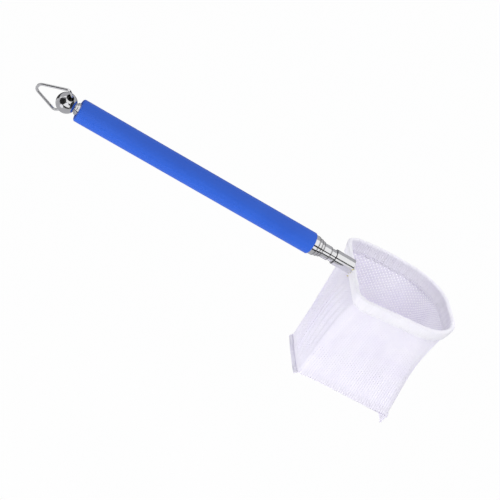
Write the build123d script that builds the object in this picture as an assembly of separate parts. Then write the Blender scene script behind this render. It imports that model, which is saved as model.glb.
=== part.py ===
from build123d import *
import math
import os

# Telescopic aquarium fish net, closed. Millimetres, X along the rod towards the net, Z up out of the mouth.

# Grip sleeve on the outer tube
grip_length = 143.0
grip_thickness = 0.7
grip_end_round = 1.1
grip_front_round = 0.5
grip_cap = 0.8

# Nested tubes
outer_tube_diameter = 11.0
diameter_drop = 1.0
tube_wall = 0.3
lip_length = 1.2
lip_round = 0.4
lip_clearance = 0.05
sleeve_clearance = 0.04
sleeve_length = 8.0
sleeve_slit = 1.0
tail_spacing = 0.3

# How far each tube shows ahead of the one around it
show_1 = 3.1
show_2 = 2.0
show_3 = 1.7
show_4 = 5.0
show_5 = 3.3

# Turning fit of the last tube in its sleeve
swivel_clearance = 0.02
bead_height = 0.12
bead_length = 0.8
bead_play = 0.05

# Ball, stud, collar and plug at the tail
plug_length = 5.0
collar_length = 2.2
collar_diameter = 6.6
collar_round = 0.4
collar_clearance = 0.1
stud_diameter = 5.0
ball_diameter = 11.0
ball_neck = 0.6
hole_tilt = 60.0
mouth_diameter = 4.0
mouth_depth = 1.7

# Hanging loop
loop_wire_diameter = 1.4
loop_bend_radius = 1.5
pin_clearance = 0.06
pin_depth = 3.0
pin_stub = 1.6
loop_reach = 16.4
loop_half_width = 10.4
loop_shoulder = 2.8
loop_apex_width = 5.2
loop_apex_radius = 3.6

# Ferrule and hoop
ferrule_diameter = 8.6
ferrule_length = 11.7
ferrule_hold = 5.0
ferrule_round = 0.12
ferrule_recess_depth = 1.2
ferrule_recess_wall = 0.25
head_pitch = 5.2
hoop_wire_diameter = 1.8
hoop_width = 62.6
hoop_length = 62.6
hoop_corner_radius = 7.0
hoop_end_radius = 23.4
tail_gap = 0.2
tail_length = 4.6
wire_standoff = 0.15

# Cloth
cloth_thickness = 0.35
hem_depth = 6.5
hem_notch = 1.2
bag_depth = 64.5
bottom_length = 59.8
bottom_width = 39.6
bottom_corner_radius = 2.0
draw_in_end = 3.7
draw_in_side = 1.4
draw_in_power = 0.8
taper_power = 0.85
end_round_power = 0.6
loft_levels = [0.0, 0.12, 0.3, 0.52, 0.76, 1.0]
mesh_window = 2.2
mesh_spacing = 6.4
mesh_columns_side = 8
mesh_columns_end = 6
mesh_rows = 8
flap_reach = 2.2
flap_tilt_inner = 45.0
flap_tilt_outer = 75.0
ear_length = 7.0
ear_width = 6.2
ear_lean = 0.8

# Derived sizes
grip_radius = outer_tube_diameter / 2 + grip_thickness
grip_half = grip_length / 2
outer_radii = [outer_tube_diameter / 2 - k * diameter_drop / 2 for k in range(5)]
bore_radii = [radius - tube_wall for radius in outer_radii]
lip_radii = [radius + lip_clearance for radius in outer_radii[1:]]
fronts = [grip_half + show_1]
for show in (show_2, show_3, show_4):
    fronts.append(fronts[-1] + show)
ferrule_back = fronts[3] + show_5
ferrule_front = ferrule_back + ferrule_length
fronts.append(ferrule_back + ferrule_hold)
tail_1 = -grip_half + grip_cap
plug_face = tail_1 + plug_length
tails = [tail_1] + [plug_face + tail_spacing] * 4
ball_radius = ball_diameter / 2
ball_x = tail_1 - collar_length - ball_neck - math.sqrt(ball_radius ** 2 - (stud_diameter / 2) ** 2)
wire_r = hoop_wire_diameter / 2
hoop_x = ferrule_front + wire_standoff + wire_r
casing_r = wire_r + cloth_thickness
half_w = hoop_width / 2
tail_y = wire_r + tail_gap / 2
tail_bend = hoop_wire_diameter


def tube_along(x0, x1, outer, inner):
    """Plain tube on the X axis."""
    ring = Circle(outer) - Circle(inner)
    return extrude(Plane.YZ.offset(x0) * ring, x1 - x0)


def rod_along(x0, x1, radius):
    """Plain cylinder on the X axis."""
    return extrude(Plane.YZ.offset(x0) * Circle(radius), x1 - x0)


def rounded_path(points, radii, closed=False):
    """Straight runs joined by tangent arcs; a zero radius leaves a vertex plain."""
    points = [Vector(*p) for p in points]
    count = len(points)
    entries = []
    for i, point in enumerate(points):
        if not closed and i in (0, count - 1):
            entries.append((point, None, point))
            continue
        back = (points[i - 1] - point).normalized()
        ahead = (points[(i + 1) % count] - point).normalized()
        half = math.acos(max(-1.0, min(1.0, back.dot(ahead)))) / 2
        reach = radii[i] / math.tan(half)
        middle = point + (back + ahead).normalized() * (radii[i] / math.sin(half) - radii[i])
        entries.append((point + back * reach, middle, point + ahead * reach))
    edges = []
    for i, (start, middle, end) in enumerate(entries):
        if middle is not None:
            edges.append(ThreePointArc(start, middle, end))
        if i + 1 < count or closed:
            following = entries[(i + 1) % count][0]
            if (following - end).length > 1e-6:
                edges.append(Line(end, following))
    return Wire(edges)


def swept_round(path, radius):
    """Round bar along a path."""
    profile = Plane(origin=path @ 0, z_dir=path % 0) * Circle(radius)
    return sweep(profile, path=path)


def pitched(shape):
    """Put a piece made on the hoop's own plane where the hoop sits."""
    return Location((hoop_x, 0, 0), (0, -head_pitch, 0)) * shape


nodes = {}

# Grip
collar_r = collar_diameter / 2
grip = tube_along(-grip_half, grip_half, grip_radius, outer_radii[0])
grip += tube_along(-grip_half, tail_1, grip_radius, collar_r + collar_clearance)
rims = grip.edges().filter_by(GeomType.CIRCLE).filter_by(lambda e: e.radius > grip_radius - 0.01)
rims = rims.sort_by(Axis.X)
grip = fillet(rims[0], grip_end_round)
front_rims = grip.edges().filter_by(GeomType.CIRCLE).filter_by(lambda e: e.radius > grip_radius - 0.01)
nodes["grip_sleeve"] = fillet(front_rims.sort_by(Axis.X)[-1], grip_front_round)

# Tubes, each with a lip rolled in at its mouth
names = ["outer_tube", "tube_2", "tube_3", "tube_4", "tube_5"]
for k in range(5):
    tube = tube_along(tails[k], fronts[k], outer_radii[k], bore_radii[k])
    if k < 4:
        tube += tube_along(fronts[k] - lip_length, fronts[k], bore_radii[k] + tube_wall / 2, lip_radii[k])
        mouth = [e for e in tube.edges().filter_by(GeomType.CIRCLE)
                 if e.radius > outer_radii[k] - 0.01 and e.center().X > fronts[k] - 0.01]
        tube = fillet(mouth, lip_round)
    nodes[names[k]] = tube

# Split sleeves on the tails; the last one runs between two rolled beads
sleeve_inner = outer_radii[4] + swivel_clearance
bead_outer = outer_radii[4] + bead_height
for k in range(1, 5):
    start = tails[k] + (bead_length + bead_play if k == 4 else 0)
    inner = sleeve_inner if k == 4 else outer_radii[k]
    outer = bore_radii[k - 1] - sleeve_clearance
    sleeve = tube_along(start, start + sleeve_length, outer, inner)
    slit = Box(2 * sleeve_length, sleeve_slit, 2 * outer)
    sleeve -= Location((start + sleeve_length / 2, 0, outer)) * slit
    nodes[f"friction_sleeve_{k + 1}"] = sleeve
sleeve_front = tails[4] + bead_length + bead_play + sleeve_length
for start in (tails[4], sleeve_front + bead_play):
    nodes["tube_5"] += tube_along(start, start + bead_length, bead_outer, outer_radii[4] - tube_wall / 2)

# Tail fittings
stud_r = stud_diameter / 2
nodes["tail_plug"] = tube_along(tail_1, plug_face, bore_radii[0], stud_r)
collar = tube_along(tail_1 - collar_length, tail_1, collar_r, stud_r)
collar_rims = [e for e in collar.edges().filter_by(GeomType.CIRCLE) if e.radius > collar_r - 0.01]
nodes["cap_collar"] = fillet(collar_rims, collar_round)

hole_dir = Vector(0, -math.cos(math.radians(hole_tilt)), math.sin(math.radians(hole_tilt)))
loop_plane = Plane(origin=(ball_x, 0, 0), x_dir=(-1, 0, 0), z_dir=Vector(-1, 0, 0).cross(hole_dir))
pin_r = loop_wire_diameter / 2
hole_plane = Plane(origin=(ball_x, 0, 0), x_dir=(1, 0, 0), z_dir=hole_dir)
ball = Location((ball_x, 0, 0)) * Sphere(ball_radius)
ball += rod_along(ball_x, plug_face, stud_r)
ball -= hole_plane * Cylinder(pin_r + pin_clearance, 2.2 * ball_radius)
for side in (1, -1):
    mouth_floor = ball_radius - mouth_depth
    ball -= hole_plane * Location((0, 0, side * (mouth_floor + ball_radius / 2))) * Cylinder(
        mouth_diameter / 2, ball_radius)
nodes["ball_cap"] = ball

# Hanging loop: a pin in each mouth, a slanted shoulder, and two legs to a round apex
pin_end = ball_radius - pin_depth
pin_out = ball_radius + pin_stub
apex_half = loop_apex_width / 2
half_run = [(0, pin_end), (0, pin_out), (loop_shoulder, loop_half_width), (loop_reach, apex_half)]
loop_points = [(x, y, 0) for x, y in half_run] + [(x, -y, 0) for x, y in reversed(half_run)]
half_bends = [0, loop_bend_radius, loop_bend_radius, loop_apex_radius]
loop_path = rounded_path(loop_points, half_bends + half_bends[::-1])
nodes["hanging_loop"] = loop_plane * swept_round(loop_path, pin_r)

# Hoop wire with two tails in the ferrule
tail_start = -tail_bend - tail_length
half_hoop = [(tail_start, tail_y), (0, tail_y), (0, half_w), (hoop_length, half_w)]
half_radii = [0, tail_bend, hoop_corner_radius, hoop_end_radius]
hoop_points = [(x, y, 0) for x, y in half_hoop] + [(x, -y, 0) for x, y in reversed(half_hoop)]
hoop_path = rounded_path(hoop_points, half_radii + half_radii[::-1])
hoop = pitched(swept_round(hoop_path, wire_r))
nodes["hoop_wire"] = hoop

ferrule_r = ferrule_diameter / 2
ferrule = tube_along(ferrule_back, ferrule_front, ferrule_r, outer_radii[4])
ferrule -= rod_along(ferrule_back, ferrule_back + ferrule_recess_depth, ferrule_r - ferrule_recess_wall)
ferrule_rims = [e for e in ferrule.edges().filter_by(GeomType.CIRCLE) if e.radius > ferrule_r - 0.01]
nodes["ferrule"] = fillet(ferrule_rims, ferrule_round)
nodes["wire_plug"] = rod_along(fronts[4], ferrule_front, outer_radii[4]) - hoop

# Bag sections, shared by the hem: rim shape at the top, a smaller rectangle at the bottom


def section(level, inset):
    """Rounded section of the cloth at a share of the depth below the hem."""
    pull = math.sin(math.pi * level ** draw_in_power)
    ease = level ** taper_power
    x0 = inset
    x1 = hoop_length + (bottom_length - hoop_length) * ease - draw_in_end * pull - inset
    half = half_w + (bottom_width / 2 - half_w) * ease - draw_in_side * pull - inset
    near = hoop_corner_radius + (bottom_corner_radius - hoop_corner_radius) * ease - inset
    far = hoop_end_radius + (bottom_corner_radius - hoop_end_radius) * level ** end_round_power - inset
    z = -hem_depth - (bag_depth - hem_depth) * level
    pts = [(x0, half, z), (x1, half, z), (x1, -half, z), (x0, -half, z)]
    return Face(rounded_path(pts, [near, far, far, near], closed=True))


# Hem: a casing on the wire and a double layer below it
flap_ring = section(0.0, -cloth_thickness) - section(0.0, cloth_thickness)
hem = extrude(flap_ring, hem_depth, dir=(0, 0, 1))
rim_points = [(hoop_length, 0), (hoop_length, -half_w), (0, -half_w), (0, half_w), (hoop_length, half_w),
              (hoop_length, 0)]
rim_radii = [0, hoop_end_radius, hoop_corner_radius, hoop_corner_radius, hoop_end_radius, 0]
rim_path = rounded_path([(x, y, 0) for x, y in rim_points], rim_radii)
hem += swept_round(rim_path, casing_r)
hem -= swept_round(rim_path, wire_r)
notch_half = ferrule_r + hem_notch
hem -= Box(4 * casing_r, 2 * notch_half, 2 * (casing_r + hem_notch))
nodes["rim_hem"] = pitched(hem)

# Bag wall and bottom
outer_bag = loft([section(level, -cloth_thickness) for level in loft_levels])
inner_bag = loft([section(level, cloth_thickness) for level in loft_levels])
mesh_middle = -(hem_depth + bag_depth) / 2
through = 2 * (hoop_width + hoop_length)
side_grid = GridLocations(mesh_spacing, mesh_spacing, mesh_columns_side, mesh_rows)
end_grid = GridLocations(mesh_spacing, mesh_spacing, mesh_columns_end, mesh_rows)
side_plane = Plane(origin=(bottom_length / 2, 0, mesh_middle), x_dir=(1, 0, 0), z_dir=(0, -1, 0))
end_plane = Plane(origin=(bottom_length / 2, 0, mesh_middle), x_dir=(0, 1, 0), z_dir=(1, 0, 0))
window = Box(mesh_window, mesh_window, through)
windows = [side_plane * place * window for place in side_grid]
windows += [end_plane * place * window for place in end_grid]
nodes["bag_wall"] = pitched(outer_bag - inner_bag - windows)
sole = extrude(section(1.0, -cloth_thickness), 2 * cloth_thickness, dir=(0, 0, -1))
nodes["bag_bottom"] = pitched(sole)

# Seam allowance hanging along the two short bottom edges, with one pointed end
seam_z = -bag_depth - cloth_thickness
seam_length = bottom_width - 2 * bottom_corner_radius
edge_out = bottom_length + cloth_thickness
flap = Location((flap_reach / 2, 0, 0)) * Box(flap_reach, seam_length, 2 * cloth_thickness)
inner_flap = Location((0, 0, seam_z), (0, 180 - flap_tilt_inner, 0)) * flap
outer_flap = Location((bottom_length, 0, seam_z), (0, flap_tilt_outer, 0)) * flap
nodes["seam_flap_inner"] = pitched(inner_flap - sole - outer_bag)
outer_flap = outer_flap - sole - outer_bag
nodes["seam_flap_outer"] = pitched(outer_flap)
ear_y = -seam_length / 2
ear_top = -bag_depth - 2 * cloth_thickness
ear_outline = Polyline(
    (edge_out - ear_width, ear_top),
    (edge_out, ear_top),
    (edge_out - ear_lean, ear_top - ear_length),
    close=True)
ear = extrude(Plane.XZ.offset(-ear_y) * make_face(ear_outline), -2 * cloth_thickness)
nodes["seam_ear"] = pitched(ear - outer_flap)

os.makedirs("parts", exist_ok=True)
for name, shape in nodes.items():
    solids = shape.solids()
    body = solids[0] if len(solids) == 1 else Compound(children=solids)
    body.label = name
    export_step(body, f"parts/{name}.step")
    print(name, len(solids), round(body.volume, 2))
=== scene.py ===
"""Dress the telescopic fish net: bright rod, vinyl grip and a knitted bag of real threads on a hoop."""
import logging
import math
from dataclasses import dataclass, field, replace
from enum import Enum
from functools import cache, partial
from typing import Callable, Optional, Union

import bpy
import numpy as np
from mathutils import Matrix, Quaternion, Vector


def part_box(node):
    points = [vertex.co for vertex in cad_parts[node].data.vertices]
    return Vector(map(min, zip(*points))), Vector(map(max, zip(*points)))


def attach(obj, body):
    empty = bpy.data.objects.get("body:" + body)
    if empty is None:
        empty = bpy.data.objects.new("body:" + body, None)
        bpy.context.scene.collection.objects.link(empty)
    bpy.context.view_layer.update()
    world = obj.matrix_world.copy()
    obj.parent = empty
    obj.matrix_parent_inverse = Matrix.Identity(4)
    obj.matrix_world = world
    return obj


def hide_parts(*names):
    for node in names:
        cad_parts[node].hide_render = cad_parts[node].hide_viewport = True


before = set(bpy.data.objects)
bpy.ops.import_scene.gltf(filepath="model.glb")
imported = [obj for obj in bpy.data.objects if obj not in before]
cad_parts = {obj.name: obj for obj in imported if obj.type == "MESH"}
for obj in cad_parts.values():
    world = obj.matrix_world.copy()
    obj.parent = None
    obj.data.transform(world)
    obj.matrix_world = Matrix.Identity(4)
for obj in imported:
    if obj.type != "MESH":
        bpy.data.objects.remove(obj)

LOG = logging.getLogger("fish_net")
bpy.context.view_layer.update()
MM = 0.001
HEAD = "head"
WHITE = (1.0, 1.0, 1.0, 1.0)

Triple = tuple[float, float, float]
Vectors = tuple[Vector, Vector, Vector]
Array = np.ndarray
Panel = tuple[Array, Array]
Surface = Callable[[Array, float], Array]
Line = Callable[[Array], Array]
Piece = bpy.types.Object
Node = bpy.types.Node
Tree = bpy.types.NodeTree
Socket = bpy.types.NodeSocket
Inputs = dict[Union[int, str], object]


class Layer(Enum):
    """Which face of the cloth a strip lies on, as a multiple of its offset."""

    INSIDE = -1.0
    OUTSIDE = 1.0


class Edge(Enum):
    """Which short edge of the bottom a flap hangs on, as the way it points along the bag."""

    HANDLE = -1.0
    FAR = 1.0


def srgb(red: int, green: int, blue: int) -> Triple:
    """Linear colour of an 8-bit display colour."""
    shares = (red / 255, green / 255, blue / 255)
    return tuple(share / 12.92 if share <= 0.04045 else ((share + 0.055) / 1.055) ** 2.4
                 for share in shares)


def between(start: float, end: float, share: float) -> float:
    """The value at a share of the way from one value to another."""
    return start + (end - start) * share


def hump(place: Array, middle: float, spread: float) -> Array:
    """A smooth hump of height one round a middle place."""
    return np.exp(-(((place - middle) / spread) ** 2))


def unit(vectors: Array) -> Array:
    """Vectors of length one along the last axis."""
    return vectors / np.maximum(np.linalg.norm(vectors, axis=-1, keepdims=True), 1e-12)


def travel_along(points: Array) -> Array:
    """Distance along a line at each of its points."""
    return np.concatenate([[0.0], np.cumsum(np.linalg.norm(np.diff(points, axis=0), axis=1))])


def ball_centre() -> Vector:
    """Middle of the ball, on the rod's axis."""
    low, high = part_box("ball_cap")
    return Vector((low[0] + high[2], 0.0, 0.0))


def add_object(name: str, data: bpy.types.ID) -> Piece:
    """Put a new object into the scene, with its mesh, lamp or camera."""
    piece = bpy.data.objects.new(name, data)
    bpy.context.scene.collection.objects.link(piece)
    return piece


# Shader nodes


class Nodes:
    """A small writer of shader nodes in one tree."""

    def __init__(self, tree: Tree) -> None:
        """Keep the tree and empty it."""
        self.tree = tree
        self.tree.nodes.clear()

    def feed(self, node: Node, sockets: Inputs) -> None:
        """Fill a node's inputs.

        Args:
            node: The node.
            sockets: Another node's output or a plain value, by the input's name or number.
        """
        for inlet, value in sockets.items():
            if isinstance(value, Socket):
                self.tree.links.new(value, node.inputs[inlet])
            else:
                node.inputs[inlet].default_value = value

    def add(self, kind: str, sockets: Optional[Inputs] = None, **settings: object) -> Node:
        """Add a node.

        Args:
            kind: Blender's name of the node type, after ShaderNode.
            sockets: What goes into its inputs.
            settings: Plain properties of the node.

        Returns:
            The new node.
        """
        node = self.tree.nodes.new(f"ShaderNode{kind}")
        for name, value in settings.items():
            setattr(node, name, value)
        self.feed(node, sockets or {})
        return node

    def surface_point(self) -> Socket:
        """The shaded point in the piece's own coordinates."""
        return self.add("TexCoord").outputs["Object"]

    def group(self, tree: Tree, **values: float) -> Node:
        """Place a shared group, fed with the shaded point and the given values."""
        return self.add("Group", {"Vector": self.surface_point(), **values}, node_tree=tree)

    def ramp(self, value: Socket, **limits: float) -> Socket:
        """Map a value from one range to another; limits are named From_Min, To_Max and so on."""
        named = {name.replace("_", " "): limit for name, limit in limits.items()}
        return self.add("MapRange", {"Value": value, **named}).outputs[0]

    def blend(self, share: Socket, first: Union[Socket, Triple], second: Union[Socket, Triple]) -> Socket:
        """Mix two colours, or outputs that give one; the share is that of the second."""
        pair = [colour if isinstance(colour, Socket) else (*colour, 1.0) for colour in (first, second)]
        return self.add("Mix", {0: share, 6: pair[0], 7: pair[1]}, data_type="RGBA").outputs[2]


def new_material(name: str) -> tuple[bpy.types.Material, Nodes]:
    """Start an empty node material, and the writer of its tree."""
    made = bpy.data.materials.new(name)
    made.use_nodes = True
    return made, Nodes(made.node_tree)


class Effects:
    """Shader node groups that several finishes share, each built once."""

    SPECKLE_RATIO = 14.0

    @staticmethod
    def start(name: str, values: dict[str, float], outputs: tuple[str, ...]) -> tuple[Nodes, Node, Node]:
        """Open a new group with a Vector input.

        Args:
            name: Name of the group.
            values: Default value by name of its other inputs.
            outputs: Names of its outputs.

        Returns:
            The writer with the group's input and output nodes.
        """
        group = bpy.data.node_groups.new(name, "ShaderNodeTree")
        group.interface.new_socket("Vector", in_out="INPUT", socket_type="NodeSocketVector")
        for label, value in values.items():
            socket = group.interface.new_socket(label, in_out="INPUT", socket_type="NodeSocketFloat")
            socket.default_value = value
        for label in outputs:
            group.interface.new_socket(label, in_out="OUTPUT", socket_type="NodeSocketFloat")
        nodes = Nodes(group)
        return nodes, group.nodes.new("NodeGroupInput"), group.nodes.new("NodeGroupOutput")

    @classmethod
    @cache
    def mottle(cls) -> Tree:
        """Soft colour clouds with a finer speckle in them.

        Returns:
            A group with a Mask that swings about a half, and a finer Speckle.
        """
        nodes, start, end = cls.start("soft_mottle", {"Scale": 60.0, "Contrast": 0.5}, ("Mask", "Speckle"))
        point, scale = start.outputs["Vector"], start.outputs["Scale"]
        finer = nodes.add("Math", {0: scale, 1: cls.SPECKLE_RATIO}, operation="MULTIPLY")
        clouds = nodes.add("TexNoise", {
            "Vector": point, "Scale": scale, "Detail": 3.0, "Roughness": 0.55})
        grain = nodes.add("TexNoise", {
            "Vector": point, "Scale": finer.outputs[0], "Detail": 2.0, "Roughness": 0.6})
        centre = nodes.add("Math", {0: clouds.outputs["Fac"], 1: 0.5}, operation="SUBTRACT")
        swing = nodes.add("Math", {0: centre.outputs[0], 1: start.outputs["Contrast"], 2: 0.5},
                          operation="MULTIPLY_ADD", use_clamp=True)
        nodes.feed(end, {"Mask": swing.outputs[0], "Speckle": grain.outputs["Fac"]})
        return nodes.tree

    @classmethod
    @cache
    def hairlines(cls) -> Tree:
        """Fine polishing lines that run round the rod's axis.

        Returns:
            A group with Lines, a value between nought and one.
        """
        nodes, start, end = cls.start("polish_hairlines", {"Along": 9000.0, "Around": 60.0}, ("Lines",))
        around = start.outputs["Around"]
        stretch = nodes.add("CombineXYZ", {"X": start.outputs["Along"], "Y": around, "Z": around})
        scaled = nodes.add("VectorMath", {0: start.outputs["Vector"], 1: stretch.outputs[0]},
                           operation="MULTIPLY")
        lines = nodes.add("TexNoise", {
            "Vector": scaled.outputs[0], "Scale": 1.0, "Detail": 3.0, "Roughness": 0.7})
        nodes.feed(end, {"Lines": lines.outputs["Fac"]})
        return nodes.tree


# Finishes


@dataclass(frozen=True)
class Finish:
    """A mottled surface with a fine grain in its relief and gloss."""

    name: str
    colour: Triple
    shade: Triple
    roughness: float
    roughness_swing: float = 0.08
    smoothest: float = 0.02
    metallic: float = 0.0
    cloud_scale: float = 60.0
    contrast: float = 1.2
    grain_height: float = 0.000004
    grain_strength: float = 0.6
    specular: float = 0.5
    coat: float = 0.0
    coat_roughness: float = 0.1
    sheen: float = 0.0
    subsurface: float = 0.0
    subsurface_radius: float = 0.0005

    @classmethod
    def like(cls, base: "Finish", **changes: object) -> "Finish":
        """A finish of this kind with another finish's values, but for the changes."""
        return cls(**{**vars(base), **changes})

    def relief(self, nodes: Nodes, mottle: Node) -> Socket:
        """The value that drives gloss and bump: the mottle's speckle."""
        return mottle.outputs["Speckle"]

    def tint(self, nodes: Nodes, colour: Socket) -> Socket:
        """The base colour as it reaches the shader; plain here."""
        return colour

    def material(self) -> bpy.types.Material:
        """Build the material, unless there is one of its name, as the frame has of tube_steel.

        Returns:
            The material of that name.
        """
        if self.name in bpy.data.materials:
            return bpy.data.materials[self.name]
        made, nodes = new_material(self.name)
        made.diffuse_color = (*self.colour, 1.0)
        mottle = nodes.group(Effects.mottle(), Scale=self.cloud_scale, Contrast=self.contrast)
        colour = nodes.blend(mottle.outputs["Mask"], self.shade, self.colour)
        relief = self.relief(nodes, mottle)
        gloss = nodes.ramp(relief, To_Min=max(self.smoothest, self.roughness - self.roughness_swing),
                           To_Max=self.roughness + self.roughness_swing)
        bump = nodes.add("Bump", {"Height": relief, "Strength": self.grain_strength,
                                  "Distance": self.grain_height})
        shader = nodes.add("BsdfPrincipled", {
            "Base Color": self.tint(nodes, colour), "Metallic": self.metallic, "Roughness": gloss,
            "Normal": bump.outputs[0], "Specular IOR Level": self.specular, "Coat Weight": self.coat,
            "Coat Roughness": self.coat_roughness, "Sheen Weight": self.sheen,
            "Subsurface Weight": self.subsurface, "Subsurface Scale": self.subsurface_radius,
            "Subsurface Radius": (1.0, 1.0, 1.0)})
        nodes.add("OutputMaterial", {"Surface": shader.outputs[0]})
        return made


@dataclass(frozen=True)
class PolishedFinish(Finish):
    """Bright metal with polishing lines round the rod."""

    metallic: float = 1.0
    lines_along: float = 9000.0
    lines_around: float = 60.0

    def relief(self, nodes: Nodes, mottle: Node) -> Socket:
        """The polishing lines drive gloss and bump."""
        lines = nodes.group(Effects.hairlines(), Along=self.lines_along, Around=self.lines_around)
        return lines.outputs["Lines"]


@dataclass(frozen=True)
class BoreShadedFinish(PolishedFinish):
    """Bright metal on a ball's skin, with painted shade darkening it inside its bore."""

    centre: Triple = (0.0, 0.0, 0.0)
    skin: float = 1.0
    dark_below: float = 0.90
    bright_above: float = 0.975
    # Colour of the painted shade in the bore.
    bore_painted_shade: Triple = (0.03, 0.03, 0.03)

    def tint(self, nodes: Nodes, colour: Socket) -> Socket:
        """Paint shade on what lies deeper than the outer skin."""
        reach = nodes.add("VectorMath", {0: nodes.surface_point(), 1: self.centre}, operation="DISTANCE")
        outer = nodes.ramp(reach.outputs["Value"], From_Min=self.dark_below * self.skin,
                           From_Max=self.bright_above * self.skin)
        return nodes.blend(outer, self.bore_painted_shade, colour)


@dataclass(frozen=True)
class MouthShadeFinish(PolishedFinish):
    """Bright metal, darkened by a painted shade and reflection where the tube's mouth is rolled in."""

    mouth: float = 0.0
    shade_band: float = 1.2 * MM
    # Colour of the painted shade at the rolled-in mouth.
    painted_mouth_shade: Triple = (0.15, 0.145, 0.15)

    def tint(self, nodes: Nodes, colour: Socket) -> Socket:
        """Paint shade on the last stretch before the mouth, darkening it."""
        along = nodes.add("SeparateXYZ", {0: nodes.surface_point()}).outputs["X"]
        near = nodes.ramp(along, From_Min=self.mouth - self.shade_band, From_Max=self.mouth)
        return nodes.blend(near, colour, self.painted_mouth_shade)


VINYL = Finish("blue_vinyl", srgb(41, 98, 213), srgb(37, 91, 204), roughness=0.40, roughness_swing=0.07,
               cloud_scale=45.0, contrast=1.6, grain_height=0.00001, specular=0.35)
TUBE_STEEL = PolishedFinish("tube_steel", (0.84, 0.84, 0.85), (0.77, 0.77, 0.785), roughness=0.06,
                            roughness_swing=0.03, cloud_scale=120.0, grain_height=0.0000003)
COLLAR_CHROME = PolishedFinish("collar_chrome", (0.78, 0.78, 0.79), (0.70, 0.70, 0.71), roughness=0.08,
                               roughness_swing=0.03, cloud_scale=200.0, grain_height=0.0000006)
LOOP_STEEL = PolishedFinish("loop_wire_steel", (0.92, 0.92, 0.93), (0.86, 0.86, 0.87), roughness=0.10,
                            roughness_swing=0.01, cloud_scale=300.0, lines_along=1500.0,
                            lines_around=1500.0, grain_height=0.00000002)
HOOP_STEEL = PolishedFinish("hoop_wire_steel", (0.70, 0.70, 0.71), (0.60, 0.60, 0.62), roughness=0.22,
                            roughness_swing=0.06, cloud_scale=300.0, lines_along=3000.0,
                            lines_around=3000.0, grain_height=0.000002)
SLEEVE_BRASS = PolishedFinish("sleeve_brass", srgb(204, 172, 98), srgb(180, 146, 78), roughness=0.3,
                              cloud_scale=150.0)
PLUG_ALLOY = PolishedFinish("plug_alloy", (0.50, 0.50, 0.51), (0.42, 0.42, 0.43), roughness=0.35,
                            cloud_scale=200.0)
NYLON = Finish("nylon_thread", srgb(243, 239, 251), srgb(236, 231, 248), roughness=0.5, cloud_scale=90.0,
               contrast=1.8, grain_height=0.00003, specular=0.35, sheen=0.2, subsurface=0.4,
               subsurface_radius=0.0004)
# A lighter copy of the nylon for the doubled hem: painted light that brightens the hem.
NYLON_DOUBLED_LIT = replace(NYLON, name="nylon_doubled_lit", colour=srgb(251, 248, 255), shade=srgb(246, 242, 254))
SEWING = Finish("sewing_thread", srgb(246, 244, 252), srgb(232, 228, 244), roughness=0.6,
                cloud_scale=400.0, grain_height=0.00003, specular=0.3)
GLUE = Finish("amber_glue", srgb(232, 223, 168), srgb(216, 203, 136), roughness=0.25, cloud_scale=700.0,
              grain_height=0.00002, coat=0.4)


# Thread meshes


def mesh_object(name: str, points: Array, quads: Array, finish: Finish,
                smooth: bool = True) -> Piece:
    """Make a quad mesh that rides on the net's head.

    Args:
        name: Name of the piece.
        points: Vertex positions, in metres, shape (n, 3).
        quads: Vertex indices, shape (m, 4).
        finish: Its finish.
        smooth: Whether its faces are shaded as one round surface.

    Returns:
        The new object.
    """
    used, quads = np.unique(quads, return_inverse=True)
    points, quads = points[used], quads.reshape(-1, 4)
    mesh = bpy.data.meshes.new(name)
    mesh.vertices.add(len(points))
    mesh.vertices.foreach_set("co", points.astype(np.float32).ravel())
    mesh.loops.add(quads.size)
    mesh.loops.foreach_set("vertex_index", quads.astype(np.int32).ravel())
    mesh.polygons.add(len(quads))
    mesh.polygons.foreach_set("loop_start", np.arange(0, quads.size, 4, dtype=np.int32))
    mesh.polygons.foreach_set("use_smooth", np.full(len(quads), smooth))
    mesh.update(calc_edges=True)
    mesh.validate()
    mesh.materials.append(finish.material())
    piece = add_object(name, mesh)
    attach(piece, HEAD)
    LOG.info("%s: %d points, %d faces", name, len(points), len(quads))
    return piece


def cloth_object(name: str, layers: list[Panel], finish: Finish = NYLON) -> Piece:
    """Make one piece of cloth from layers of threads.

    Args:
        name: Name of the piece.
        layers: Vertex positions and quads of each layer.
        finish: Its finish.

    Returns:
        The new object.
    """
    starts = np.cumsum([0] + [len(points) for points, _ in layers[:-1]])
    points = np.concatenate([points for points, _ in layers])
    quads = np.concatenate([quads + start for (_, quads), start in zip(layers, starts)])
    return mesh_object(name, points, quads, finish, smooth=False)


def threads(paths: Array, normals: Array, half_width: Array, half_height: float,
            keep: Optional[Array] = None) -> Panel:
    """Closed flattened threads along many paths at once.

    Args:
        paths: Points of each thread, shape (threads, points, 3).
        normals: The cloth's normal at each point, same shape.
        half_width: Half of the thread's width in the cloth at each point, shape (threads, points).
        half_height: Half of its thickness.
        keep: Which points are there, shape (threads, points); all where left out.

    Returns:
        Vertex positions and quads.
    """
    count, length = paths.shape[:2]
    keep = np.ones((count, length), dtype=bool) if keep is None else keep
    ahead = unit(np.gradient(paths, axis=1))
    across = unit(np.cross(ahead, normals))
    outward = np.cross(across, ahead) * half_height
    across = across * half_width[:, :, None]
    ring = np.stack([outward, across, -outward, -across], axis=2)
    points = paths[:, :, None, :] + ring
    index = np.arange(count * length * 4).reshape(count, length, 4)
    joined = keep[:, :-1] & keep[:, 1:]
    here, there = index[:, :-1][joined], index[:, 1:][joined]
    turn = np.roll(np.arange(4), -1)
    sides = np.stack([here, here[:, turn], there[:, turn], there], axis=2).reshape(-1, 4)
    blank = np.zeros((count, 1), dtype=bool)
    before = np.concatenate([blank, joined], axis=1)
    after = np.concatenate([joined, blank], axis=1)
    firsts = index[after & ~before][:, ::-1]
    lasts = index[before & ~after]
    return points.reshape(-1, 3), np.concatenate([sides, firsts, lasts])


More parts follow.
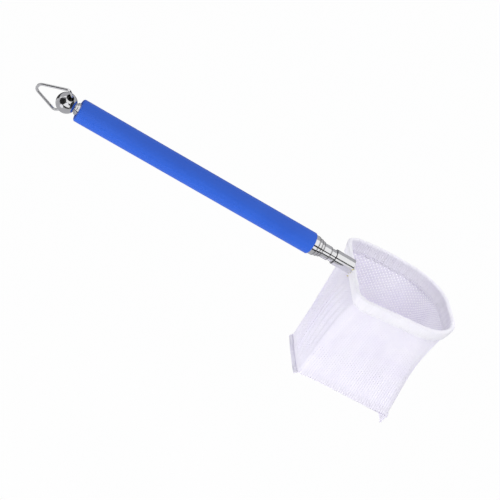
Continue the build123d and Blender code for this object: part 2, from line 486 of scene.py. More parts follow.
@dataclass(frozen=True)
class Knit:
    """A knitted mesh: zigzag threads that lie side by side along short pillars."""

    cover: float = 0.94
    cover_gain: float = 0.14
    closed_cover: float = 1.01
    half_height: float = 0.14 * MM
    pillar: float = 0.40 * MM
    diagonal: float = 0.55 * MM
    lean: float = 0.15
    gather: float = 4.0
    thread_count: int = 184
    panel_pitch: float = 1.18 * MM

    def closed(self) -> "Knit":
        """The same cloth worked tight, as it is where it is folded and sewn."""
        return replace(self, cover=self.closed_cover, cover_gain=0.0, lean=0.0)

    @property
    def row(self) -> float:
        """Height of one pillar and one diagonal."""
        return self.pillar + self.diagonal

    def count_across(self, width: float) -> int:
        """An even number of threads that fills a panel's width."""
        return 2 * round(width / self.panel_pitch / 2)

    def stations(self, length: float) -> tuple[Array, Array]:
        """Distances along a thread, and the side that it leans to at each.

        Args:
            length: Length of cloth to fill.

        Returns:
            Distances and signs.
        """
        rows = max(1, round(length / self.row))
        starts = np.arange(rows) * (length / rows)
        pillar = self.pillar / self.row * (length / rows)
        along = np.stack([starts, starts + pillar], axis=1).ravel()
        sign = np.repeat(np.where(np.arange(rows) % 2 == 0, 1.0, -1.0), 2)
        return np.append(along, length), np.append(sign, -sign[-1])

    def panel(self, count: int, length: float, surface: Surface, keep: Optional[Line] = None) -> Panel:
        """Knit one layer of zigzag threads on a surface.

        Args:
            count: How many threads.
            length: Length of cloth along them, in metres.
            surface: Gives points from places across, in thread numbers, and a distance along.
            keep: Says which points of the threads' paths are there; all where left out.

        Returns:
            Vertex positions and quads.
        """
        along, sign = self.stations(length)
        number = np.arange(count, dtype=float)
        parity = np.where(np.arange(count) % 2 == 0, 1.0, -1.0)
        step = self.row / 3
        paths, normals, half_widths = [], [], []
        for distance, side in zip(along, sign):
            lean = self.lean * (1.0 - (distance / length) ** self.gather)
            at = number + side * parity * lean
            paths.append(surface(at, distance))
            across = surface(at + 0.5, distance) - surface(at - 0.5, distance)
            down = surface(at, distance + step) - surface(at, distance - step)
            normals.append(unit(np.cross(across, down)))
            cover = self.cover + self.cover_gain * distance / length
            half_widths.append(0.5 * cover * np.linalg.norm(across, axis=1))
        paths, normals, half_widths = (np.stack(part, axis=1) for part in (paths, normals, half_widths))
        return threads(paths, normals, half_widths, self.half_height, keep(paths) if keep else None)


@dataclass(frozen=True)
class Stitching:
    """Running stitches of sewing thread."""

    length: float = 1.7 * MM
    gap: float = 0.6 * MM
    radius: float = 0.17 * MM
    bow: float = 1.3
    stations: int = 5

    def sew(self, name: str, line: Line, length: float, normal: Line) -> Piece:
        """A row of stitches along a line.

        Args:
            name: Name of the piece.
            line: Points from distances along the line.
            length: Length of the line.
            normal: The cloth's outward vectors at distances along the line.

        Returns:
            The stitches as one piece.
        """
        count = int(length / (self.length + self.gap))
        starts = np.arange(count) * (length / count)
        shares = np.linspace(0.0, 1.0, self.stations)
        rises = np.sin(math.pi * shares) * self.bow * self.radius
        paths, normals = [], []
        for share, rise in zip(shares, rises):
            at = starts + share * self.length
            out = normal(at)
            paths.append(line(at) + out * rise)
            normals.append(out)
        halves = np.full((count, self.stations), self.radius)
        points, quads = threads(np.stack(paths, axis=1), np.stack(normals, axis=1), halves, self.radius)
        return mesh_object(name, points, quads, SEWING)


# Shape of the bag


@dataclass
class BagForm:
    """The cloth's surface: rim shape at the hoop, a smaller rectangle at the bottom, sagging between.

    Places run round the rim as a share from nought to one, from the middle of the handle side over the
    near side, the far end and the far side, and down from the hem as a level from nought to one. The
    pleats' wander gives its swing, its waves round the rim and its shift with depth; each slow wave gives
    its size, its count round the rim and its shift with depth.
    """

    hoop_x: float
    hoop_length: float = 62.6 * MM
    hoop_width: float = 62.6 * MM
    corner_radius: float = 7.0 * MM
    end_radius: float = 23.4 * MM
    pitch: float = math.radians(5.2)
    hem_depth: float = 6.5 * MM
    depth: float = 64.5 * MM
    bottom_length: float = 59.8 * MM
    bottom_width: float = 39.6 * MM
    bottom_radius: float = 2.0 * MM
    draw_in_end: float = 3.7 * MM
    draw_in_side: float = 1.4 * MM
    draw_in_power: float = 0.8
    taper_power: float = 0.85
    end_radius_power: float = 0.6
    corner_share: float = 0.132
    end_share: float = 0.352
    round_points: int = 15
    run_points: tuple[int, int, int] = (8, 10, 6)
    pleat_height: float = 0.45 * MM
    pleat_count: int = 34
    pleat_wander: Triple = (2.4, 9.0, 3.0)
    pleat_floor: float = 0.25
    handle_spread: float = 0.10
    wave_height: float = 0.35 * MM
    waves: tuple[Triple, ...] = ((1.0, 5.0, 4.0), (0.6, 11.0, -5.0))
    fade_power: float = 0.7
    belly: float = 1.3 * MM
    skew: float = 2.3 * MM
    near_share: float = 0.24
    near_spread: float = 0.13
    near_reach: float = 0.11
    lift_height: float = 2.0 * MM
    lift_share: float = 0.80
    lift_spread: float = 0.085
    lift_fade: float = 0.2
    hem_lean: float = 1.3 * MM
    lean_power: float = 1.2
    lean_fade: float = 0.22
    outlines: dict[float, tuple[Array, Array]] = field(default_factory=dict)

    @property
    def wall_height(self) -> float:
        """Height of the wall from the hem to the bottom seam."""
        return self.depth - self.hem_depth

    def rim_length(self) -> float:
        """Length of the rim line."""
        return 2 * float(travel_along(self.half_outline(0.0)[0])[-1])

    def half_outline(self, level: float) -> tuple[Array, Array]:
        """Half of the section at a level, from the handle side to the far end.

        Args:
            level: Share of the depth below the hem.

        Returns:
            Points in the section's plane, and the share of the rim at each.
        """
        key = round(level, 5)
        if key in self.outlines:
            return self.outlines[key]
        level = max(level, 0.0)
        pull = math.sin(math.pi * level ** self.draw_in_power)
        ease = level ** self.taper_power
        far_x = between(self.hoop_length, self.bottom_length, ease) - self.draw_in_end * pull
        half = between(self.hoop_width, self.bottom_width, ease) / 2 - self.draw_in_side * pull
        near = between(self.corner_radius, self.bottom_radius, ease)
        far = between(self.end_radius, self.bottom_radius, level ** self.end_radius_power)
        turn = np.linspace(0.0, math.pi / 2, self.round_points)
        corner = np.stack([near * (1 - np.cos(turn)), -half + near * (1 - np.sin(turn))], axis=1)
        end = np.stack([far_x - far * (1 - np.sin(turn)), -half + far * (1 - np.cos(turn))], axis=1)
        handle_points, side_points, end_points = self.run_points
        handle_run = np.linspace([0.0, 0.0], corner[0], handle_points)[:-1]
        side_run = np.linspace(corner[-1], end[0], side_points)[1:-1]
        end_run = np.linspace(end[-1], [far_x, 0.0], end_points)[1:]
        points = np.concatenate([handle_run, corner, side_run, end, end_run])
        travel = travel_along(points)
        corner_at = travel[len(handle_run) + len(turn) // 2]
        end_at = travel[len(handle_run) + len(turn) + len(side_run) + len(turn) // 2]
        shares = np.interp(travel, [0.0, corner_at, end_at, travel[-1]],
                           [0.0, self.corner_share, self.end_share, 0.5])
        self.outlines[key] = (points, shares)
        return points, shares

    def section(self, share: Array, level: float) -> Array:
        """Points of one section in its own plane.

        Args:
            share: Places round the rim.
            level: Share of the depth below the hem.

        Returns:
            Plane points, shape (n, 2).
        """
        points, shares = self.half_outline(level)
        share = np.mod(share, 1.0)
        folded = np.minimum(share, 1.0 - share)
        x = np.interp(folded, shares, points[:, 0])
        y = np.interp(folded, shares, points[:, 1])
        return np.stack([x, np.where(share <= 0.5, y, -y)], axis=1)

    def outward(self, share: Array, level: float, step: float = 0.004) -> Array:
        """Unit vectors out of the section in its own plane, shape (n, 2)."""
        run = unit(self.section(share + step, level) - self.section(share - step, level))
        return np.stack([run[:, 1], -run[:, 0]], axis=1)

    def lift(self, share: Array) -> Array:
        """How far the loose casing stands up over the wire at the far corner by the handle."""
        return self.lift_height * hump(np.mod(share, 1.0), self.lift_share, self.lift_spread)

    def lean(self, up: float) -> float:
        """How far the hem leans in towards the bag's slope at a height below the wire."""
        return self.hem_lean * max(0.0, -up / self.hem_depth) ** self.lean_power

    def drape(self, share: Array, level: float) -> tuple[Array, Array]:
        """Sag of the cloth off its plain section.

        Args:
            share: Places round the rim.
            level: Share of the depth below the hem.

        Returns:
            Outward push and rise, in metres.
        """
        share = np.mod(share, 1.0)
        handle = hump(np.minimum(share, 1.0 - share), 0.0, self.handle_spread)
        fade = math.sin(math.pi * min(max(level, 0.0), 1.0)) ** self.fade_power
        swing, bends, shift = self.pleat_wander
        wander = swing * np.sin(bends * share + shift * level)
        pleats = np.sin(2 * math.pi * self.pleat_count * share + wander)
        slow = sum(size * np.sin(2 * math.pi * count * share + slide * level)
                   for size, count, slide in self.waves)
        push = self.pleat_height * pleats * (self.pleat_floor + handle) * fade
        push = push + self.wave_height * slow * fade + self.belly * handle * fade
        near = hump(share, self.near_share, self.near_spread)
        along = np.clip((share - self.near_share) / self.near_reach, -1.0, 1.0)
        rise = -self.skew * along * near * max(level, 0.0) ** 2
        return push, rise

    def to_row(self, plane: Array, height: Array) -> Array:
        """Put points on the hoop's own frame into the row frame.

        Args:
            plane: Points in the hoop's plane, shape (n, 2).
            height: Height over that plane.

        Returns:
            Row-frame points, shape (n, 3).
        """
        run, climb = math.cos(self.pitch), math.sin(self.pitch)
        x, y = plane[:, 0], plane[:, 1]
        return np.stack([self.hoop_x + x * run - height * climb, y, x * climb + height * run], axis=1)

    def wall(self, share: Array, level: float, offset: float = 0.0) -> Array:
        """Row-frame points of the bag's wall.

        Args:
            share: Places round the rim.
            level: Share of the depth below the hem.
            offset: Distance out of the cloth's middle.

        Returns:
            Points, shape (n, 3).
        """
        push, rise = self.drape(share, level)
        push = push - self.hem_lean * math.exp(-max(level, 0.0) / self.lean_fade)
        plane = self.section(share, level) + self.outward(share, level) * (push + offset)[:, None]
        height = -self.hem_depth - self.wall_height * level + rise
        height = height + self.lift(share) * math.exp(-level / self.lift_fade)
        return self.to_row(plane, height)


# Sub-assemblies


@dataclass(frozen=True)
class SeamFlap:
    """Doubled seam allowance that hangs along one short bottom edge, with its stitches."""

    name: str
    node: str
    form: BagForm
    edge: Edge
    tilt: float
    reach: float = 2.2 * MM
    end_gap: float = 1.0 * MM
    wave_height: float = 0.4 * MM
    wave_run: float = 4.3 * MM
    wave_shift: float = 0.6
    layer_offset: float = 0.2 * MM
    stitch_distance: float = 0.25 * MM
    stitch_lift: float = 0.35 * MM

    @property
    def seam(self) -> float:
        """Length of the seam."""
        return self.form.bottom_width - self.end_gap

    def place(self, y: Array, distance: float, lift: Array) -> Array:
        """Points on the flap from the seam's own directions.

        Args:
            y: Places along the seam.
            distance: Distance out of the seam.
            lift: Distance off the flap's middle.

        Returns:
            Row-frame points, shape (n, 3).
        """
        form, way = self.form, self.edge.value
        near_handle = self.edge is Edge.HANDLE
        seam_x, middle = (0.0, 0.0) if near_handle else (form.bottom_length, 0.5)
        reach = form.corner_share if near_handle else 0.5 - form.end_share
        _, rise = form.drape(middle + way * reach * y / (form.bottom_width / 2), 1.0)
        run, fall = math.cos(self.tilt), math.sin(self.tilt)
        plane = np.stack([seam_x + way * (distance * run + lift * fall), y], axis=1)
        return form.to_row(plane, -form.depth - distance * fall + lift * run + rise)

    def surface(self, layer: Layer, count: int, at: Array, distance: float) -> Array:
        """Points of one of its two layers, from thread numbers and a distance out of the seam."""
        y = (at + 0.5) * self.seam / count - self.seam / 2
        wave = self.wave_height * np.sin(y / self.wave_run + self.wave_shift * layer.value)
        return self.place(y, distance, wave * distance / self.reach + layer.value * self.layer_offset)

    def seam_line(self, at: Array) -> Array:
        """Points of the seam line at distances along it."""
        return self.place(at - self.seam / 2, self.stitch_distance, np.full(len(at), self.stitch_lift))

    @staticmethod
    def seam_normal(at: Array) -> Array:
        """Upward vectors at distances along the seam."""
        return np.tile([0.0, 0.0, 1.0], (len(at), 1))

    def build(self, knit: Knit, sewing: Stitching) -> list[Piece]:
        """Make the flap.

        Args:
            knit: Its cloth.
            sewing: Its stitches.

        Returns:
            The flap and its row of stitches.
        """
        count = knit.count_across(self.seam)
        layers = [knit.closed().panel(count, self.reach, partial(self.surface, layer, count))
                  for layer in Layer]
        piece = cloth_object(self.name, layers)
        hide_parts(self.node)
        return [piece, sewing.sew(f"{self.name}_stitches", self.seam_line, self.seam, self.seam_normal)]


@dataclass(frozen=True)
class SeamEar:
    """The pointed end of the seam at the near far-end corner."""

    form: BagForm
    length: float = 7.0 * MM
    width: float = 6.2 * MM
    thread_count: int = 6
    tuck: float = 1.2 * MM
    inset: float = 0.7 * MM
    overhang: float = 0.4 * MM
    tip_share: float = 0.18
    taper: float = 1.6
    tip_back: float = 0.3 * MM
    tip_in: float = 1.0 * MM
    layer_offset: float = 0.25 * MM

    def surface(self, layer: Layer, at: Array, distance: float) -> Array:
        """Points of one layer of the ear.

        Args:
            layer: Which of its two layers.
            at: Thread numbers.
            distance: Distance down from its upper end.

        Returns:
            Row-frame points, shape (n, 3).
        """
        form = self.form
        _, rise = form.drape(np.array([form.end_share]), 1.0)
        top = -form.depth + self.tuck + float(rise[0])
        # Above its upper end, where only the slope is read, the ear counts as narrow as its tip.
        left = self.tip_share
        if distance >= 0.0:
            left = max(left, 1.0 - (distance / (self.length + self.tuck)) ** self.taper)
        across = (1 - (at + 0.5) / self.thread_count) * self.width * left
        x = form.bottom_length + self.overhang - self.tip_back * (1 - left) - across
        y = self.inset - form.bottom_width / 2 + self.tip_in * (1 - left)
        y = np.full(len(at), y + layer.value * self.layer_offset * left)
        return form.to_row(np.stack([x, y], axis=1), np.full(len(at), top - distance))

    def build(self, knit: Knit) -> Piece:
        """Make the ear as one piece."""
        length = self.length + self.tuck
        layers = [knit.closed().panel(self.thread_count, length, partial(self.surface, layer))
                  for layer in Layer]
        piece = cloth_object("corner_ear", layers)
        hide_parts("seam_ear")
        return piece


@dataclass
class NetBag:
    """The knitted bag: wall, bottom, hem, seams and their stitches.

    The hem's outer and inner sides are given by points: the distance out of the wire's line, and the share
    of the hem's depth below it.
    """

    form: BagForm
    mouth_x: float
    ferrule_radius: float
    knit: Knit = Knit()
    sewing: Stitching = Stitching()
    wire_radius: float = 0.9 * MM
    wire_standoff: float = 0.15 * MM
    casing_gap: float = 0.38 * MM
    fold_start: float = math.radians(-20)
    fold_end: float = math.radians(200)
    fold_points: int = 13
    hem_outer: tuple[tuple[float, float], ...] = (
        (0.28 * MM, 1.0), (0.66 * MM, 0.90), (1.05 * MM, 0.62), (1.22 * MM, 0.36))
    hem_inner: tuple[tuple[float, float], ...] = (
        (-1.06 * MM, 0.26), (-0.86 * MM, 0.40), (-0.74 * MM, 0.70), (-0.46 * MM, 1.04))
    ripple_height: float = 0.12 * MM
    ripple_count: int = 41
    ripple_wander: tuple[float, float] = (3.0, 17.0)
    mouth_gap: float = 0.3 * MM
    hem_stitch_share: float = 0.86
    hem_stitch_out: float = 0.88 * MM
    hem_stitch_in: float = 0.72 * MM
    bottom_sag: float = 0.9 * MM
    flap_tilt_inner: float = math.radians(45.0)
    flap_tilt_outer: float = math.radians(75.0)
    allowance: float = 5.0 * MM
    allowance_inset: float = 0.32 * MM
    wall_flat: tuple[float, float] = (0.215, 0.058)

    def wall_surface(self, at: Array, distance: float) -> Array:
        """Wall points from thread numbers and a distance below the hem."""
        return self.form.wall(at / self.knit.thread_count, distance / self.form.wall_height)

    def build_wall(self) -> Piece:
        """The wall of the bag, from the hem to the bottom seam.

        Returns:
            The wall.
        """
        panel = self.knit.panel(self.knit.thread_count, self.form.wall_height, self.wall_surface)
        piece = cloth_object("net_wall", [panel])
        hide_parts("bag_wall")
        return piece

    def bottom_surface(self, count: int, at: Array, distance: float) -> Array:
        """Points of the bottom panel.

        Args:
            count: How many threads it has.
            at: Thread numbers.
            distance: Distance from the handle side.

        Returns:
            Row-frame points, shape (n, 3).
        """
        form = self.form
        y = (at + 0.5) * (form.bottom_width / count) - form.bottom_width / 2
        share = distance / form.bottom_length
        plane = np.stack([np.full(len(at), distance), y], axis=1)
        near = np.clip(-y / (form.bottom_width / 2), 0.0, 1.0) ** 2
        hang = math.sin(math.pi * min(max(share, 0.0), 1.0)) * np.cos(y / form.bottom_width * math.pi)
        skew = -form.skew * np.clip(2 * share - 1, -1, 1) * near
        return form.to_row(plane, -form.depth - self.bottom_sag * hang + skew)

    def build_bottom(self) -> Piece:
        """The bottom panel, its threads running along the bag.

        Returns:
            The bottom.
        """
        count = self.knit.count_across(self.form.bottom_width)
        panel = self.knit.panel(count, self.form.bottom_length, partial(self.bottom_surface, count))
        piece = cloth_object("net_bottom", [panel])
        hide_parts("bag_bottom")
        return piece

    def hem_profile(self) -> Array:
        """Section of the folded hem, from its outer edge over the wire to its inner edge.

        Returns:
            Outward distance and height of each point, shape (n, 2).
        """
        loose = self.wire_radius + self.casing_gap
        turn = np.linspace(self.fold_start, self.fold_end, self.fold_points)
        over = np.stack([loose * np.cos(turn), loose * np.sin(turn)], axis=1)
        outer, inner = (np.array(side) * [1.0, -self.form.hem_depth]
                        for side in (self.hem_outer, self.hem_inner))
        return np.concatenate([outer, over, inner])

    def hem_length(self) -> float:
        """Length of the hem's fold from edge to edge."""
        return float(travel_along(self.hem_profile())[-1])

    def hem_point(self, share: Array, out: Array, up: float) -> Array:
        """Row-frame points by the rim, leaning with the hem.

        Args:
            share: Places round the rim.
            out: Distance out of the wire's line.
            up: Height over it.

        Returns:
            Points, shape (n, 3).
        """
        form = self.form
        away = form.outward(share, 0.0) * (out - form.lean(up))[:, None]
        return form.to_row(form.section(share, 0.0) + away, up + form.lift(share))

    def hem_surface(self, profile: Array, at: Array, distance: float) -> Array:
        """Points of the folded hem.

        Args:
            profile: Its section.
            at: Thread numbers.
            distance: Distance along the section.

        Returns:
            Row-frame points, shape (n, 3).
        """
        share = at / self.knit.thread_count
        travel = travel_along(profile)
        out = np.interp(distance, travel, profile[:, 0])
        up = np.interp(distance, travel, profile[:, 1])
        swing, bends = self.ripple_wander
        ripple = np.sin(2 * math.pi * self.ripple_count * share + swing * np.sin(bends * share))
        return self.hem_point(share, out + self.ripple_height * ripple, up)

    def clear_of_ferrule(self, paths: Array) -> Array:
        """Which points of the hem's threads lie clear of the ferrule's mouth."""
        behind = paths[:, :, 0] < self.mouth_x + self.mouth_gap
        close = np.hypot(paths[:, :, 1], paths[:, :, 2]) < self.ferrule_radius + self.mouth_gap
        return ~(behind & close)

    def build_hem(self) -> Piece:
        """The hem: one strip of netting folded over the wire, open at the ferrule.

        Returns:
            The hem.
        """
        surface = partial(self.hem_surface, self.hem_profile())
        panel = self.knit.closed().panel(self.knit.thread_count, self.hem_length(), surface,
                                         self.clear_of_ferrule)
        # The hem takes the lighter nylon copy, which is painted light.
        piece = cloth_object("rim_casing", [panel], NYLON_DOUBLED_LIT)
        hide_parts("rim_hem")
        return piece

    def hem_stitch_line(self, out: float, at: Array) -> Array:
        """Points of a stitch line round the hem, at a distance out of the wire's line."""
        up = -self.hem_stitch_share * self.form.hem_depth
        return self.hem_point(at / self.form.rim_length(), np.full(len(at), out), up)

    def hem_stitch_normal(self, layer: Layer, at: Array) -> Array:
        """Vectors out of one face of the hem at distances round it."""
        away = self.form.outward(at / self.form.rim_length(), 0.0) * layer.value
        return np.stack([away[:, 0], away[:, 1], np.zeros(len(at))], axis=1)

    def build_hem_stitches(self) -> list[Piece]:
        """Stitches through the hem, seen outside and inside.

        Returns:
            One row for each face.
        """
        made = []
        for layer, stand in ((Layer.OUTSIDE, self.hem_stitch_out), (Layer.INSIDE, self.hem_stitch_in)):
            line = partial(self.hem_stitch_line, layer.value * stand)
            made.append(self.sewing.sew(f"hem_stitches_{layer.name.lower()}", line, self.form.rim_length(),
                                        partial(self.hem_stitch_normal, layer)))
        return made

    def allowance_surface(self, at: Array, distance: float) -> Array:
        """Points inside the wall from thread numbers and a distance up from the bottom seam."""
        level = 1.0 - distance / self.form.wall_height
        return self.form.wall((at + 0.5) / self.knit.thread_count, level, -self.allowance_inset)

    def build_allowance(self) -> Piece:
        """Turned-in cloth along the bottom edge, doubling the wall there."""
        panel = self.knit.closed().panel(self.knit.thread_count, self.allowance, self.allowance_surface)
        return cloth_object("bottom_allowance", [panel])

    def build_flaps(self) -> list[Piece]:
        """The seam flaps along the two short bottom edges.

        Returns:
            Each flap with its stitches.
        """
        form = self.form
        flaps = (
            SeamFlap("seam_allowance_inner", "seam_flap_inner", form, Edge.HANDLE, self.flap_tilt_inner),
            SeamFlap("seam_allowance_outer", "seam_flap_outer", form, Edge.FAR, self.flap_tilt_outer))
        return [piece for flap in flaps for piece in flap.build(self.knit, self.sewing)]

    def build(self) -> None:
        """Make every piece of the bag."""
        form = self.form
        wall = self.build_wall()
        hem = self.build_hem()
        bottom = self.build_bottom()
        sewn_on = [self.build_allowance(), *self.build_flaps(), SeamEar(form).build(self.knit)]
        stitches = self.build_hem_stitches()
        form.rim_length()
        self.hem_length()


@dataclass(frozen=True)
class GlueBead:
    """One drop of glue: its radius, its angle round the ferrule, and how far ahead and off it stands."""

    size: float
    angle: float
    ahead: float
    stand: float


@dataclass
class GlueSpots:
    """Small beads of glue left at the ferrule's mouth."""

    mouth_x: float
    rim_radius: float
    beads: tuple[GlueBead, ...] = (
        GlueBead(0.62 * MM, 8.0, 0.15 * MM, 0.0),
        GlueBead(0.42 * MM, -66.0, 0.7 * MM, 1.1 * MM),
        GlueBead(0.34 * MM, -22.0, 0.4 * MM, 0.1 * MM))
    rings: int = 9
    sides: int = 14
    lumpiness: float = 0.14
    lumps_around: int = 3
    lumps_down: int = 2
    lump_shift: float = 1.3
    stretch: Triple = (1.25, 1.0, 0.8)

    def bead_points(self, number: int, bead: GlueBead) -> Array:
        """Points of one lumpy bead.

        Args:
            number: Its number, which sets where its lumps are.
            bead: Its size and place.

        Returns:
            Points in rings from its top to its foot, shape (n, 3).
        """
        around = math.radians(bead.angle)
        radius = self.rim_radius + bead.stand
        middle = [self.mouth_x + bead.ahead, -radius * math.cos(around), radius * math.sin(around)]
        tilt, turn = np.meshgrid(np.linspace(0, math.pi, self.rings),
                                 np.arange(self.sides) * 2 * math.pi / self.sides, indexing="ij")
        lumps = (np.sin(self.lumps_around * turn + number)
                 * np.sin(self.lumps_down * tilt + self.lump_shift * number))
        reach = bead.size * (1 + self.lumpiness * lumps)
        ball = np.stack([np.sin(tilt) * np.cos(turn), np.sin(tilt) * np.sin(turn), np.cos(tilt)], axis=2)
        ball = ball * reach[:, :, None] * self.stretch
        return ball.reshape(-1, 3) + middle

    def build(self) -> Piece:
        """Make the beads as one piece.

        Returns:
            The beads.
        """
        points = [self.bead_points(number, bead) for number, bead in enumerate(self.beads)]
        index = np.arange(len(self.beads) * self.rings * self.sides).reshape(-1, self.rings, self.sides)
        here, there = index[:, :-1], index[:, 1:]
        quads = np.stack([here, np.roll(here, -1, 2), np.roll(there, -1, 2), there], axis=3)
        return mesh_object("glue_beads", np.concatenate(points), quads.reshape(-1, 4), GLUE)


@dataclass
class Rod:
    """The CAD pieces that stay in view, with the finish of each."""

    finishes: dict[str, Finish] = field(default_factory=lambda: {
        "grip_sleeve": VINYL,
        "tube_5": TUBE_STEEL,
        "ferrule": TUBE_STEEL,
        "cap_collar": COLLAR_CHROME,
        "hanging_loop": LOOP_STEEL,
        "hoop_wire": HOOP_STEEL,
        "tail_plug": PLUG_ALLOY,
        "wire_plug": PLUG_ALLOY,
        **{f"friction_sleeve_{number}": SLEEVE_BRASS for number in (2, 3, 4, 5)},
    })
    mouthed_tubes: tuple[str, ...] = ("outer_tube", "tube_2", "tube_3", "tube_4")

    @staticmethod
    def own_place(name: str, place: Vector) -> Vector:
        """A place of the row frame in a piece's own coordinates."""
        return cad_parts[name].matrix_world.inverted() @ place

    def tube_finish(self, name: str) -> Finish:
        """Tube steel with painted shade at the tube's own mouth."""
        mouth = self.own_place(name, Vector((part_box(name)[1][0], 0.0, 0.0)))
        return MouthShadeFinish.like(TUBE_STEEL, name=f"{name}_steel", mouth=mouth[0])

    def ball_finish(self) -> Finish:
        """Chrome for the ball, with painted shade in its hole."""
        centre = tuple(self.own_place("ball_cap", ball_centre()))
        return BoreShadedFinish.like(
            COLLAR_CHROME, name="ball_chrome_shaded_bore", colour=(0.80, 0.80, 0.81), shade=(0.72, 0.72, 0.73),
            roughness=0.12, centre=centre, skin=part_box("ball_cap")[1][2])

    def dress(self) -> None:
        """Give each carried-over piece its finish."""
        tubes = {name: self.tube_finish(name) for name in self.mouthed_tubes}
        for name, finish in {**self.finishes, **tubes, "ball_cap": self.ball_finish()}.items():
            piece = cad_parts[name]
            piece.data.materials.clear()
            piece.data.materials.append(finish.material())
            LOG.info("%s: %s", name, finish.name)


# Studio


@dataclass(frozen=True)
class Lamp:
    """A soft rectangular lamp: where it hangs, where it shines, its size, power and fan of light."""

    name: str
    place: Triple
    aim: Triple
    width: float
    height: float
    watts: float
    spread: float = 180.0

    def build(self) -> None:
        """Hang the lamp, unseen by the camera and in reflections."""
        data = bpy.data.lights.new(self.name, "AREA")
        data.shape = "RECTANGLE"
        data.size, data.size_y, data.energy = self.width, self.height, self.watts
        data.spread = math.radians(self.spread)
        piece = add_object(self.name, data)
        piece.visible_camera = False
        piece.visible_glossy = False
        piece.location = self.place
        piece.rotation_mode = "QUATERNION"
        piece.rotation_quaternion = (Vector(self.aim) - piece.location).to_track_quat("-Z", "Y")


@dataclass(frozen=True)
class RodCard:
    """A long card beside the rod, from one direction round its axis to another.

    Directions are in degrees from the near side upwards, each with its distance from the axis.
    """

    name: str
    grey: float
    start: float
    start_reach: float
    end: float
    end_reach: float
    half_length: float = 1.5

    def span(self) -> Vectors:
        """Where the card lies.

        Returns:
            Its middle and its two half-widths.
        """
        edges = []
        for angle, reach in ((self.start, self.start_reach), (self.end, self.end_reach)):
            turn = math.radians(angle)
            edges.append(Vector((0.0, -math.cos(turn), math.sin(turn))) * reach)
        return (edges[0] + edges[1]) / 2, Vector((self.half_length, 0, 0)), (edges[1] - edges[0]) / 2


@dataclass(frozen=True)
class BallCard:
    """A card that faces the ball, in a direction to the picture's right, to its top and to the camera."""

    name: str
    grey: float
    toward: Triple
    reach: float
    half: float
    sides: int = 4

    def span(self, axes: Vectors) -> Vectors:
        """Where the card lies.

        Args:
            axes: Vectors to the picture's right, to its top and back to the camera.

        Returns:
            Its middle and its two half-widths.
        """
        way = sum((axis * share for axis, share in zip(axes, self.toward)), Vector()).normalized()
        side = way.orthogonal().normalized()
        return ball_centre() + way * self.reach, side * self.half, way.cross(side) * self.half


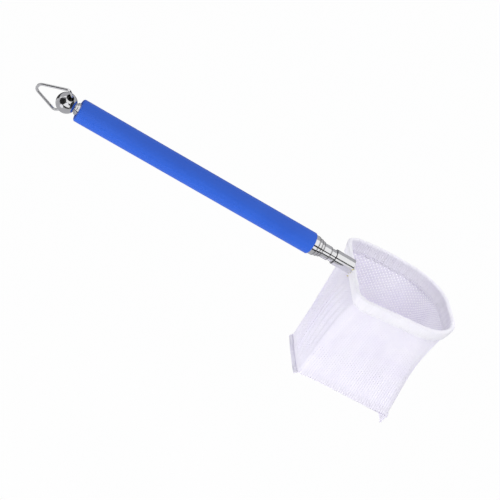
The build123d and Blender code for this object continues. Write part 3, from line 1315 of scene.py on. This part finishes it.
@dataclass
class Studio:
    """White floor and surroundings, soft lamps, cards for the metal, and the camera."""

    target: Triple = (46.3 * MM, 0.0, -21.3 * MM)
    azimuth: float = -19.31
    elevation: float = 24.56
    roll: float = 37.66
    distance: float = 0.680
    focal_pixels: float = 1266.2
    image_pixels: float = 500.0
    sensor: float = 36.0
    clip: tuple[float, float] = (0.01, 60.0)
    ambient: float = 0.86
    ambient_tint: tuple[float, float, float, float] = (0.97, 0.98, 1.0, 1.0)
    floor_z: float = -0.30
    floor_half: float = 30.0
    floor_grey: float = 0.92
    floor_glow: float = 0.95
    card_blue: float = 1.04
    end_reach: float = 1.5
    end_half: float = 1.8
    end_grey: float = 0.04
    lamps: tuple[Lamp, ...] = (
        Lamp("low_lamp", place=(-0.18, -0.27, -0.26), aim=(-0.12, 0.0, 0.0),
             width=0.64, height=0.08, watts=0.90),
        Lamp("mouth_lamp", place=(0.15, -0.14, 0.28), aim=(0.137, 0.012, -0.015),
             width=0.10, height=0.10, watts=0.012, spread=25.0))
    rod_cards: tuple[RodCard, ...] = (
        RodCard("back_card", 0.46, 100.0, 0.80, 176.0, 0.62),
        RodCard("back_foot", 0.03, 176.0, 0.62, 212.0, 0.60),
        RodCard("line_card", 0.02, 14.0, 0.50, 31.0, 0.50),
        RodCard("low_line_card", 0.03, -33.0, 0.40, -15.0, 0.40),
        RodCard("under_card", 0.48, -148.0, 0.50, -30.0, 0.60))
    ball_cards: tuple[BallCard, ...] = (
        BallCard("left_card", 0.50, (-0.9, 0.1, 0.3), 0.70, 0.45),
        BallCard("dark_card", 0.02, (-0.50, 0.25, 0.80), 0.40, 0.29, sides=12),
        BallCard("left_window", 1.0, (-0.70, -0.55, 0.46), 0.15, 0.045, sides=16),
        BallCard("right_window", 1.0, (0.18, -0.35, 0.92), 0.15, 0.045, sides=16))

    def camera_turn(self) -> Quaternion:
        """Rotation of the camera.

        Returns:
            The turn from a camera that looks down with its top to the far side.
        """
        round_z, up = math.radians(self.azimuth), math.radians(self.elevation)
        level_run = math.cos(up)
        back = Vector((math.sin(round_z) * level_run, -math.cos(round_z) * level_run, math.sin(up)))
        level = (-back).to_track_quat("-Z", "Y")
        return level @ Quaternion((0, 0, 1), math.radians(self.roll))

    def axes(self) -> Vectors:
        """Vectors to the picture's right, to its top and back to the camera."""
        turn = self.camera_turn()
        return turn @ Vector((1, 0, 0)), turn @ Vector((0, 1, 0)), turn @ Vector((0, 0, 1))

    def build_camera(self) -> None:
        """Set up the photograph's viewpoint."""
        data = bpy.data.cameras.new("photo_camera")
        data.sensor_width = self.sensor
        data.lens = self.focal_pixels / self.image_pixels * self.sensor
        data.clip_start, data.clip_end = self.clip
        camera = add_object("photo_camera", data)
        camera.rotation_mode = "QUATERNION"
        camera.rotation_quaternion = self.camera_turn()
        camera.location = Vector(self.target) + self.axes()[2] * self.distance
        bpy.context.scene.camera = camera

    @staticmethod
    def seen_rays(nodes: Nodes) -> Socket:
        """Find the rays that show the surroundings.

        Args:
            nodes: Writer of the tree.

        Returns:
            One where a ray comes from the camera, a reflection or a clear piece.
        """
        path = nodes.add("LightPath").outputs
        seen = path["Is Camera Ray"]
        for kind in ("Is Glossy Ray", "Is Transmission Ray"):
            seen = nodes.add("Math", {0: seen, 1: path[kind]}, operation="MAXIMUM").outputs[0]
        return seen

    def build_world(self) -> None:
        """White surroundings: full white in view and in reflections, softer as light."""
        world = bpy.data.worlds.new("white_room")
        world.use_nodes = True
        bpy.context.scene.world = world
        nodes = Nodes(world.node_tree)
        seen = nodes.add("Background", {"Color": WHITE, "Strength": 1.0})
        light = nodes.add("Background", {"Color": self.ambient_tint, "Strength": self.ambient})
        mix = nodes.add("MixShader", {0: self.seen_rays(nodes), 1: light.outputs[0], 2: seen.outputs[0]})
        nodes.add("OutputWorld", {"Surface": mix.outputs[0]})

    @staticmethod
    def plane(name: str, middle: Vector, right: Vector, up: Vector, sides: int = 4) -> Piece:
        """Make a flat face.

        Args:
            name: Name of the face.
            middle: Its middle.
            right: Half of its width.
            up: Half of its height.
            sides: Four for a rectangle, more for a rounder face.

        Returns:
            The new object.
        """
        half_turn = math.pi / sides
        corners = []
        for number in range(sides):
            angle = (2 * number + 1) * half_turn
            corners.append(middle + (right * math.cos(angle) + up * math.sin(angle)) / math.cos(half_turn))
        mesh = bpy.data.meshes.new(name)
        mesh.from_pydata(corners, [], [tuple(range(sides))])
        piece = add_object(name, mesh)
        return piece

    def build_floor(self) -> None:
        """Pale floor that glows white in view and keeps a soft shadow."""
        floor = self.plane("floor", Vector((0, 0, self.floor_z)), Vector((self.floor_half, 0, 0)),
                           Vector((0, self.floor_half, 0)))
        made, nodes = new_material("white_floor")
        diffuse = nodes.add("BsdfDiffuse", {"Color": (*[self.floor_grey] * 3, 1.0)})
        glow = nodes.add("Emission", {"Color": WHITE, "Strength": 1.0})
        share = nodes.add("Math", {0: self.seen_rays(nodes), 1: self.floor_glow}, operation="MULTIPLY")
        mix = nodes.add("MixShader", {0: share.outputs[0], 1: diffuse.outputs[0], 2: glow.outputs[0]})
        nodes.add("OutputMaterial", {"Surface": mix.outputs[0]})
        floor.data.materials.append(made)

    def build_card(self, name: str, grey: float, span: Vectors, sides: int = 4) -> None:
        """Hang a card that only the metal's reflections see.

        Args:
            name: Name of the card.
            grey: Its brightness.
            span: Its middle and its two half-widths.
            sides: How many sides it has.
        """
        card = self.plane(name, *span, sides)
        made, nodes = new_material(name)
        glow = nodes.add("Emission", {"Color": (grey, grey, grey * self.card_blue, 1.0), "Strength": 1.0})
        nodes.add("OutputMaterial", {"Surface": glow.outputs[0]})
        card.data.materials.append(made)
        card.visible_camera = False
        card.visible_diffuse = False
        card.visible_shadow = False
        card.visible_transmission = False

    def build(self) -> None:
        """Set up the whole studio."""
        bpy.context.scene.view_settings.view_transform = "Standard"
        self.build_world()
        self.build_floor()
        self.build_camera()
        for lamp in self.lamps:
            lamp.build()
        for card in self.rod_cards:
            self.build_card(card.name, card.grey, card.span())
        self.build_card("end_card", self.end_grey, (
            Vector((self.end_reach, 0, 0)), Vector((0, self.end_half, 0)), Vector((0, 0, self.end_half))))
        for card in self.ball_cards:
            self.build_card(card.name, card.grey, card.span(self.axes()), card.sides)


def main() -> None:
    """Build the net's pieces in order, then the studio."""
    logging.basicConfig(level=logging.INFO, format="%(name)s: %(message)s")
    Rod().dress()
    ferrule_low, ferrule_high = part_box("ferrule")
    mouth, rim = ferrule_high[0], (ferrule_high[2] - ferrule_low[2]) / 2
    form = BagForm(hoop_x=mouth + NetBag.wire_standoff + NetBag.wire_radius)
    NetBag(form, mouth_x=mouth, ferrule_radius=rim).build()
    GlueSpots(mouth_x=mouth, rim_radius=rim).build()
    Studio().build()


if __name__ == "__main__":
    main()
